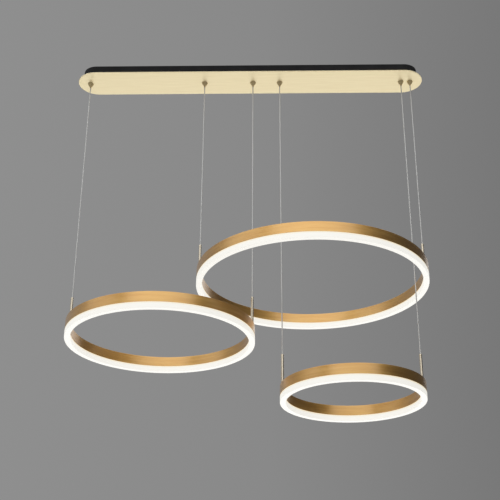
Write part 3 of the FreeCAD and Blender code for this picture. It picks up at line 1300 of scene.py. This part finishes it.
@dataclass
class TerminalBlock:
    """The mains terminals: towers with wire holes, and slotted brass screws in their wells.

    Attributes:
        poles: how many towers there are.
        gap_width: the gap between two towers.
        gap_depth: how deep it is.
        hole_width: the width of a wire hole.
        hole_low: the height of its floor above the block's.
        hole_high: the height of its roof above the block's floor.
        well_radius: the radius of a screw's well.
        well_depth: how deep it is.
        row_offset: how far each row of screws stands from the middle.
        rounding: how far the block's edges are rounded.
        screw_radius: a screw's radius.
        screw_length: a screw's length.
        screw_edge: the chamfer at its top.
        screw_sunk: how far it stands under the block's top.
        slot_width: the width of its slot.
        slot_depth: how deep the slot is.
    """

    poles: int = 3
    gap_width: float = 2.0
    gap_depth: float = 5.5
    hole_width: float = 5.0
    hole_low: float = 5.0
    hole_high: float = 10.0
    well_radius: float = 2.6
    well_depth: float = 3.5
    row_offset: float = 6.0
    rounding: float = 0.3
    screw_radius: float = 2.3
    screw_length: float = 2.3
    screw_edge: float = 0.3
    screw_sunk: float = 1.2
    slot_width: float = 0.8
    slot_depth: float = 0.9

    def __post_init__(self) -> None:
        """Reads the block's place from the frame, and works out where its poles and screws stand."""
        self.low, self.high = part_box("terminal_block")
        pitch = (self.high.x - self.low.x) / self.poles
        middle = (self.low.y + self.high.y) / 2
        self.poles_x = [self.low.x + (number + 0.5) * pitch for number in range(self.poles)]
        self.gaps_x = [self.low.x + (number + 1) * pitch for number in range(self.poles - 1)]
        self.rows_y = (middle - self.row_offset * MM, middle + self.row_offset * MM)

    def channel(self, x: float, width: float, low: float, high: float) -> Piece:
        """A cutter that goes right through the block from front to back.

        Args:
            x: its middle, in metres.
            width: its width, in metres.
            low: the height of its floor.
            high: the height of its roof.

        Returns:
            The cutter.
        """
        near, far = self.low.y - CLEAR, self.high.y + CLEAR
        return box("cutter", (x - width / 2, near, low), (x + width / 2, far, high))

    def block(self) -> None:
        """The nylon block with its towers, wire holes and screw wells."""
        low, high = self.low, self.high
        piece = box("terminal_body", low, high)
        for x in self.gaps_x:
            cut(piece, [self.channel(x, self.gap_width * MM, high.z - self.gap_depth * MM, high.z + CLEAR)])
        for x in self.poles_x:
            hole_low, hole_high = low.z + self.hole_low * MM, low.z + self.hole_high * MM
            cut(piece, [self.channel(x, self.hole_width * MM, hole_low, hole_high)])
            for y in self.rows_y:
                cut(piece, [peg(Vector((x, y, high.z)), self.well_radius * MM, 2 * self.well_depth * MM)])
        round_edges(piece, self.rounding * MM, segments=2, sharper_than=50)
        smooth(piece, flatter_than=35)
        hand_over(piece, NYLON.material(), CANOPY_BODY, "terminal_block")

    def screws(self) -> None:
        """The slotted screws in the wells."""
        stations = [
            Station(self.screw_radius, -self.screw_length),
            Station(self.screw_radius, -self.screw_edge),
            Station(self.screw_radius - self.screw_edge, 0.0),
        ]
        pattern = turned("terminal screw", 0.0, stations, sides=32)
        half, end = self.slot_width / 2 * MM, self.screw_radius * MM + CLEAR
        cut(pattern, [box("slot", (-half, -end, -self.slot_depth * MM), (half, end, CLEAR))])
        top = self.high.z - self.screw_sunk * MM
        for pole, x in enumerate(self.poles_x, 1):
            for row, y in enumerate(self.rows_y, 1):
                piece = copied(pattern, f"terminal_screw_{pole}_{row}", Vector((x, y, top)))
                smooth(piece, flatter_than=35)
                hand_over(piece, SCREW_BRASS.material(), CANOPY_BODY)
        discard(pattern)

    def build(self) -> None:
        """Builds the whole terminal block."""
        self.block()
        self.screws()


@dataclass
class Drivers:
    """The rings' drivers: each a case and a stepped lid with a bare sunk field, screws and cable ports.

    Attributes:
        lid: the lid's thickness.
        lid_step: how far the lid stands inside the case.
        port_radius: the radius of a cable port.
        port_depth: how deep it is.
        port_inset: how far its axis stands inside the case's side.
        field_inset: how far the sunk field stands inside the case, along and across.
        field_depth: how deep it is.
        screw_inset: how far a screw stands inside the case, along and across.
        well_radius: the radius of a screw's well.
        well_depth: how deep it is.
        case_rounding: how far the case's edges are rounded.
        lid_rounding: how far the lid's edges are rounded.
        screw_sunk: how far a screw stands under the lid's top.
        screw: points of a screw's outline, each as its radius and how far under its top.
        cross: the half length and half width of its crossed slot.
        cross_depth: how deep the slot is.
    """

    lid: float = 2.0
    lid_step: float = 1.0
    port_radius: float = 2.2
    port_depth: float = 4.0
    port_inset: float = 7.0
    field_inset: tuple[float, float] = (18.0, 4.0)
    field_depth: float = 0.3
    screw_inset: tuple[float, float] = (9.0, 6.0)
    well_radius: float = 1.9
    well_depth: float = 1.2
    case_rounding: float = 0.5
    lid_rounding: float = 0.25
    screw_sunk: float = 0.2
    screw: tuple[tuple[float, float], ...] = ((1.7, 0.95), (1.7, 0.3), (1.4, 0.08), (0.9, 0.0))
    cross: tuple[float, float] = (1.0, 0.22)
    cross_depth: float = 0.5

    def case(self, name: str) -> None:
        """One driver's case, with two cable ports at each end.

        Args:
            name: the name of the ring that it feeds.
        """
        low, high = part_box("driver_" + name)
        lid_bottom = high.z - self.lid * MM
        piece = box("driver_case_" + name, low, (high.x, high.y, lid_bottom))
        inset = self.port_inset * MM
        height = (low.z + lid_bottom) / 2
        along = Euler((0, pi / 2, 0))
        for x in (low.x, high.x):
            for y in (low.y + inset, high.y - inset):
                port = peg(Vector((x, y, height)), self.port_radius * MM, 2 * self.port_depth * MM, along)
                cut(piece, [port])
        round_edges(piece, self.case_rounding * MM, segments=3, sharper_than=50)
        smooth(piece, flatter_than=35)
        hand_over(piece, CASE_WHITE.material(), CANOPY_BODY, "driver_" + name)

    def lid_and_screws(self, name: str, screw: Piece) -> None:
        """One driver's lid and the screws in it.

        Args:
            name: the name of the ring that it feeds.
            screw: the screws' pattern.
        """
        low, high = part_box("driver_" + name)
        step = self.lid_step * MM
        bottom = high.z - self.lid * MM
        lid_low, lid_high = (low.x + step, low.y + step, bottom), (high.x - step, high.y - step, high.z)
        piece = box("driver_lid_" + name, lid_low, lid_high)
        along, across = (inset * MM for inset in self.field_inset)
        field_low = (low.x + along, low.y + across, high.z - self.field_depth * MM)
        cut(piece, [box("field", field_low, (high.x - along, high.y - across, high.z + CLEAR))])
        along, across = (inset * MM for inset in self.screw_inset)
        corners = [(x, y) for x in (low.x + along, high.x - along) for y in (low.y + across, high.y - across)]
        for x, y in corners:
            cut(piece, [peg(Vector((x, y, high.z)), self.well_radius * MM, 2 * self.well_depth * MM)])
        round_edges(piece, self.lid_rounding * MM, segments=2, sharper_than=50)
        smooth(piece, flatter_than=35)
        hand_over(piece, CASE_WHITE.material(), CANOPY_BODY)
        for number, (x, y) in enumerate(corners, 1):
            place = Vector((x, y, high.z - self.screw_sunk * MM))
            copy = copied(screw, f"driver_screw_{name}_{number}", place)
            smooth(copy, flatter_than=35)
            hand_over(copy, ZINC.material(), CANOPY_BODY)

    def screw_pattern(self) -> Piece:
        """A small domed screw with a crossed slot, its top at the origin.

        Returns:
            The screw, to be copied.
        """
        stations = [Station(radius, -under) for radius, under in self.screw]
        pattern = turned("driver screw", 0.0, stations, sides=28)
        for half_x, half_y in (self.cross, self.cross[::-1]):
            slot_low = (-half_x * MM, -half_y * MM, -self.cross_depth * MM)
            cut(pattern, [box("slot", slot_low, (half_x * MM, half_y * MM, CLEAR))])
        return pattern

    def build(self) -> None:
        """Builds a driver for each ring."""
        pattern = self.screw_pattern()
        for name in RING_NAMES:
            self.case(name)
            self.lid_and_screws(name, pattern)
        discard(pattern)


# ---------------------------------------------------------------------------------------------
# Studio
# ---------------------------------------------------------------------------------------------


@dataclass(frozen=True)
class Viewpoint:
    """Where the photograph was taken from, fitted to its outlines.

    Attributes:
        place: where the lens was, in metres.
        pitch: how far it looked up, in degrees.
        yaw: how far it looked to the right, in degrees.
        roll: how far it was turned clockwise, in degrees.
        focal_pixels: its focal length, in the picture's pixels.
        frame_pixels: the picture's width, in pixels.
        sensor: the sensor's width, in millimetres.
    """

    place: tuple[float, float, float]
    pitch: float
    yaw: float
    roll: float
    focal_pixels: float
    frame_pixels: float = 500.0
    sensor: float = 36.0

    def camera(self) -> None:
        """Makes the scene's camera."""
        pitch, yaw, roll = (radians(angle) for angle in (self.pitch, self.yaw, self.roll))
        ahead = Vector((sin(yaw) * cos(pitch), cos(yaw) * cos(pitch), sin(pitch)))
        right = Vector((cos(yaw), -sin(yaw), 0.0))
        up = right.cross(ahead)
        level_right = right * cos(roll) + up * sin(roll)
        level_up = up * cos(roll) - right * sin(roll)
        data = bpy.data.cameras.new("camera")
        data.sensor_width = self.sensor
        data.lens = self.focal_pixels * self.sensor / self.frame_pixels
        camera = bpy.data.objects.new("camera", data)
        turn = Matrix((level_right, level_up, -ahead)).transposed()
        camera.matrix_world = Matrix.Translation(self.place) @ turn.to_4x4()
        bpy.context.scene.collection.objects.link(camera)
        bpy.context.scene.camera = camera


@dataclass(frozen=True)
class Softbox:
    """A large soft lamp, in metres.

    Attributes:
        name: the lamp's name.
        place: where its middle is.
        target: the point that it looks at.
        width: its width.
        height: its height.
        radiance: how bright its face is, where 1 renders white.
    """

    name: str
    place: tuple[float, float, float]
    target: tuple[float, float, float]
    width: float
    height: float
    radiance: float

    def build(self) -> None:
        """Hangs the lamp."""
        data = bpy.data.lights.new(self.name, "AREA")
        data.shape = "RECTANGLE"
        data.size = self.width
        data.size_y = self.height
        data.energy = self.radiance * pi * self.width * self.height
        lamp = bpy.data.objects.new(self.name, data)
        lamp.location = self.place
        lamp.rotation_euler = (Vector(self.target) - Vector(self.place)).to_track_quat("-Z", "Y").to_euler()
        lamp.visible_camera = False
        bpy.context.scene.collection.objects.link(lamp)


MIDDLE = (0.0, 0.0, -0.6)


@dataclass
class Studio:
    """A pale floor, a plain surround that is darker to the right, and soft lamps.

    Attributes:
        floor_height: the floor's height, in metres.
        floor_size: its side.
        floor_tone: its colour.
        floor_roughness: its roughness.
        left_tone: the surround's grey at the left.
        middle_tone: its grey in the middle.
        right_tone: its grey at the right.
        right_from: where it has reached that grey, from 0 at the left to 1 at the right.
        lamps: the lamps.
    """

    floor_height: float = -2.4
    floor_size: float = 300.0
    floor_tone: Colour = (0.80, 0.80, 0.80)
    floor_roughness: float = 0.8
    left_tone: float = 0.34
    middle_tone: float = 0.25
    right_tone: float = 0.06
    right_from: float = 0.85
    lamps: tuple[Softbox, ...] = (
        Softbox("front softbox", (0.08, -2.95, 0.8), MIDDLE, 4.75, 1.7, 1.10),
        Softbox("left softbox", (-2.95, -1.1, 0.8), MIDDLE, 2.2, 1.7, 0.56),
        Softbox("back softbox", (1.2, 3.4, 1.2), MIDDLE, 2.4, 1.6, 0.6),
        Softbox("overhead softbox", (0.0, 0.6, 2.6), (0.0, 2.0, -2.4), 6.4, 6.4, 0.95),
        Softbox("low softbox", (0.0, 2.2, -2.25), (0.0, 0.0, 0.0), 4.0, 3.6, 1.22),
    )

    def floor(self) -> None:
        """The plain pale floor."""
        start_piece()
        bpy.ops.mesh.primitive_plane_add(size=self.floor_size, location=(0, 0, self.floor_height))
        floor = bpy.context.object
        floor.name = "floor"
        bench = Bench("pale floor")
        bench.set(Base_Color=self.floor_tone, Roughness=self.floor_roughness)
        dress(floor, bench.material)

    def world(self) -> None:
        """The surround, a soft grey that falls off to the right."""
        world = bpy.data.worlds.new("surround")
        world.use_nodes = True
        nodes, links = world.node_tree.nodes, world.node_tree.links
        source = nodes.new("ShaderNodeTexCoord")
        split = nodes.new("ShaderNodeSeparateXYZ")
        links.new(source.outputs["Generated"], split.inputs[0])
        share = nodes.new("ShaderNodeMapRange")
        share.inputs["From Min"].default_value = -1.0
        share.inputs["From Max"].default_value = 1.0
        links.new(split.outputs["X"], share.inputs["Value"])
        ramp = nodes.new("ShaderNodeValToRGB")
        elements = ramp.color_ramp.elements
        elements.new(0.5)
        elements[-1].position = self.right_from
        for element, tone in zip(elements, (self.left_tone, self.middle_tone, self.right_tone)):
            element.color = (tone, tone, tone, 1.0)
        links.new(share.outputs["Result"], ramp.inputs[0])
        links.new(ramp.outputs["Color"], nodes["Background"].inputs["Color"])
        bpy.context.scene.world = world

    def build(self) -> None:
        """Sets the studio up."""
        self.floor()
        self.world()
        for lamp in self.lamps:
            lamp.build()


PHOTOGRAPH = Viewpoint(
    (0.042495, -1.982009, -1.409665), pitch=25.393, yaw=-1.164, roll=0.263, focal_pixels=998.59
)


def main() -> None:
    """Builds the chandelier and the studio round it."""
    logging.basicConfig(level=logging.INFO, format="%(name)s: %(message)s")
    Canopy().build()
    TerminalBlock().build()
    Drivers().build()
    for name in RING_NAMES:
        LitRing(name).build()
        Suspension(name).build()
    Studio().build()
    PHOTOGRAPH.camera()
    bpy.context.scene.view_settings.view_transform = "Standard"
    bpy.context.view_layer.update()


if __name__ == "__main__":
    main()
